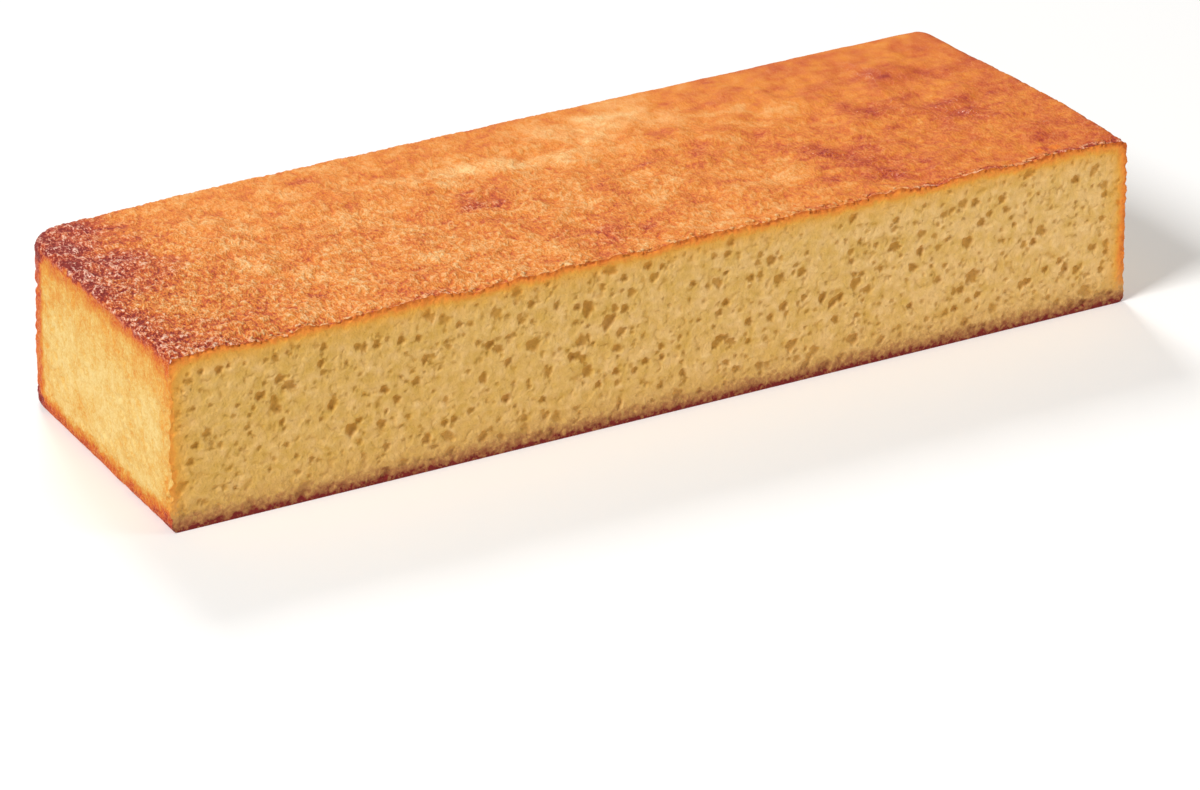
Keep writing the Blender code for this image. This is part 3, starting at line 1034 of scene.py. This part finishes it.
class CAKE_OT_walls(bpy.types.Operator):
    """Stand up the baked walls: both ends with their rounded back corners, and the back"""

    bl_idname = "cake.walls"
    bl_label = "Baked walls"

    def execute(self, context):
        loaf, relief = Loaf(context.scene.cake_shape), context.scene.cake_relief
        self.add_end(loaf, relief, "left_wall", -1)
        self.add_end(loaf, relief, "right_wall", 1)
        self.add_back(loaf, relief)
        return {"FINISHED"}

    def add_end(self, loaf, relief, name, side):
        sheet, u, v = lattice_sheet(name)
        width, radius = loaf.width(side * loaf.half), loaf.corner_radius(side)
        along = u * (width + radius)
        x = side * (loaf.half - np.maximum(along - width, 0))
        place, normal = loaf.wall_patch(x, np.minimum(along / width, 1), v)
        skin_piece(loaf, relief, sheet, place, normal)
        close_behind(sheet, (-side, 0, 0), side * (loaf.half - END_THICKNESS), SKIN_DRAWN_IN)
        dress(sheet, bpy.data.materials["Baked wall"])

    def add_back(self, loaf, relief):
        sheet, u, v = lattice_sheet("back_wall")
        left, right = loaf.corner_radius(-1) - loaf.half, loaf.half - loaf.corner_radius(1)
        x = left + (right - left) * u
        place, normal = loaf.wall_patch(x, np.ones_like(x), v)
        skin_piece(loaf, relief, sheet, place, normal)
        narrow_back = loaf.front + loaf.width(-loaf.half)
        close_behind(sheet, (0, -1, 0), narrow_back - BACK_THICKNESS, SKIN_DRAWN_IN)
        dress(sheet, bpy.data.materials["Baked wall"])


class CAKE_OT_crumb(bpy.types.Operator):
    """Open the crumb on the cut face, with the bubbles that the knife went through"""

    bl_idname = "cake.crumb"
    bl_label = "Open crumb"

    def execute(self, context):
        loaf, relief = Loaf(context.scene.cake_shape), context.scene.cake_relief
        sheet, u, v = lattice_sheet("open_crumb")
        place, outline, distance = loaf.cut_patch(u, v)
        edge_height = skin_relief(loaf, relief, place, outline)
        edge_fade = np.clip(1 - distance / (8 * MM), 0, 1) ** 2
        shift, bead = rim_beads(relief, place, distance, outline[..., 2], BEAD_REACH_ON_CRUMB)
        depth, pore = crumb_depth(relief, place, distance)
        shaped = place + outline * (edge_height * edge_fade)[..., None] + shift
        shaped[..., 1] += depth
        set_shape(sheet, shaped)
        set_values(sheet, bead=bead, pore=pore, **crumb_values(loaf, place, depth))
        close_behind(sheet, (0, 1, 0), loaf.front + CRUMB_THICKNESS, CRUMB_DRAWN_IN)
        dress(sheet, bpy.data.materials["Open crumb"])
        return {"FINISHED"}


class CAKE_OT_underside(bpy.types.Operator):
    """Close the slab with its browned underside"""

    bl_idname = "cake.underside"
    bl_label = "Underside"

    def execute(self, context):
        loaf = Loaf(context.scene.cake_shape)
        sheet, u, v = lattice_sheet("underside")
        u = u[:, ::-1]  # turned round, so that the sheet faces down
        place = loaf.base_patch(u, v)
        grain = crumbs(place, 2.2 * MM, 3.7)
        to_end = np.minimum(u, 1 - u) * BASE_LENGTH
        to_side = np.minimum(v, 1 - v) * BASE_WIDTH
        place[..., 2] += 0.25 * MM * (1 - grain) * smooth(0, 3 * MM, np.minimum(to_end, to_side))
        set_shape(sheet, loaf.settled(place))
        browning = 0.66 + 0.12 * lumps(place, 30 * MM) + 0.08 * lumps(place, 8 * MM, 2.0)
        none = np.zeros_like(browning)
        set_values(sheet, browning=browning, crust=none, bead=none, grain=grain, crisp=none + 0.5)
        close_behind(sheet, (0, 0, 1), BASE_THICKNESS, SKIN_DRAWN_IN)
        dress(sheet, bpy.data.materials["Baked wall"])
        return {"FINISHED"}


FLOOR_SIZE = 8
CAMERA_FROM_CORNER = Vector((-0.5643, -1.2774, 0.7224))  # from the slab's front left corner at the base


class CAKE_OT_stage(bpy.types.Operator):
    """Set the floor, the soft light and the camera"""

    bl_idname = "cake.stage"
    bl_label = "Stage"

    def execute(self, context):
        stage = context.scene.cake_stage
        self.add_floor(stage)
        self.add_light(context, stage)
        self.add_camera(context, stage)
        context.scene.view_settings.view_transform = "Standard"
        return {"FINISHED"}

    def add_floor(self, stage):
        bpy.ops.mesh.primitive_plane_add(size=FLOOR_SIZE)
        floor = bpy.context.object
        floor.name = "floor"
        material = bpy.data.materials.new("Pale floor")
        material.use_nodes = True
        shader = material.node_tree.nodes["Principled BSDF"]
        shader.inputs["Base Color"].default_value = (*stage.floor, 1)
        shader.inputs["Roughness"].default_value = 0.9
        floor.data.materials.append(material)

    def add_light(self, context, stage):
        world = bpy.data.worlds.new("Studio")
        context.scene.world = world
        world.use_nodes = True
        sky = world.node_tree.nodes["Background"]
        sky.inputs["Color"].default_value = (1, 1, 1, 1)
        sky.inputs["Strength"].default_value = stage.sky_strength
        self.add_softbox("key_light", (-1.6, -0.4, 1.75), 0.8, stage.key_power)
        self.add_softbox("back_light", (0.3, 1.4, 1.3), 0.45, stage.back_power)
        self.add_softbox("fill_light", (0.9, -0.65, 0.55), 0.4, stage.fill_power)

    def add_softbox(self, name, place, size, watts):
        bpy.ops.object.light_add(type="AREA", location=place)
        softbox = bpy.context.object
        softbox.name = name
        softbox.data.energy = watts
        softbox.data.size = size
        softbox.rotation_euler = (-Vector(place)).to_track_quat("-Z", "Y").to_euler()

    def add_camera(self, context, stage):
        corner = Vector((-(HIGH.x - LOW.x) / 2 + context.scene.cake_shape.wall_overhang, LOW.y, 0))
        bpy.ops.object.camera_add(
            location=corner + CAMERA_FROM_CORNER,
            rotation=(math.pi / 2 - stage.view_dip, 0, stage.view_turn),
        )
        camera = context.object
        camera.name = "camera"
        camera.data.lens = stage.lens
        context.scene.camera = camera


class CAKE_PT_panel(bpy.types.Panel):
    """The cake's pieces, in the order in which they are made"""

    bl_idname = "CAKE_PT_panel"
    bl_label = "Sheet Cake"
    bl_space_type = "VIEW_3D"
    bl_region_type = "UI"
    bl_category = "Cake"

    def draw(self, context):
        for operator in OPERATORS:
            self.layout.operator(operator.bl_idname)


GROUPS = (CakeShape, CakeRelief, CakeColours, CakeStage)
OPERATORS = (
    CAKE_OT_materials,
    CAKE_OT_top_crust,
    CAKE_OT_walls,
    CAKE_OT_crumb,
    CAKE_OT_underside,
    CAKE_OT_stage,
)


def register():
    for made in (*GROUPS, *OPERATORS, CAKE_PT_panel):
        bpy.utils.register_class(made)
    bpy.types.Scene.cake_shape = PointerProperty(type=CakeShape)
    bpy.types.Scene.cake_relief = PointerProperty(type=CakeRelief)
    bpy.types.Scene.cake_colours = PointerProperty(type=CakeColours)
    bpy.types.Scene.cake_stage = PointerProperty(type=CakeStage)


def unregister():
    for name in ("cake_shape", "cake_relief", "cake_colours", "cake_stage"):
        delattr(bpy.types.Scene, name)
    for made in reversed((*GROUPS, *OPERATORS, CAKE_PT_panel)):
        bpy.utils.unregister_class(made)


def main():
    register()
    bpy.ops.cake.materials()
    bpy.ops.cake.top_crust()
    bpy.ops.cake.walls()
    bpy.ops.cake.crumb()
    bpy.ops.cake.underside()
    bpy.ops.cake.stage()


if __name__ == "__main__":
    main()
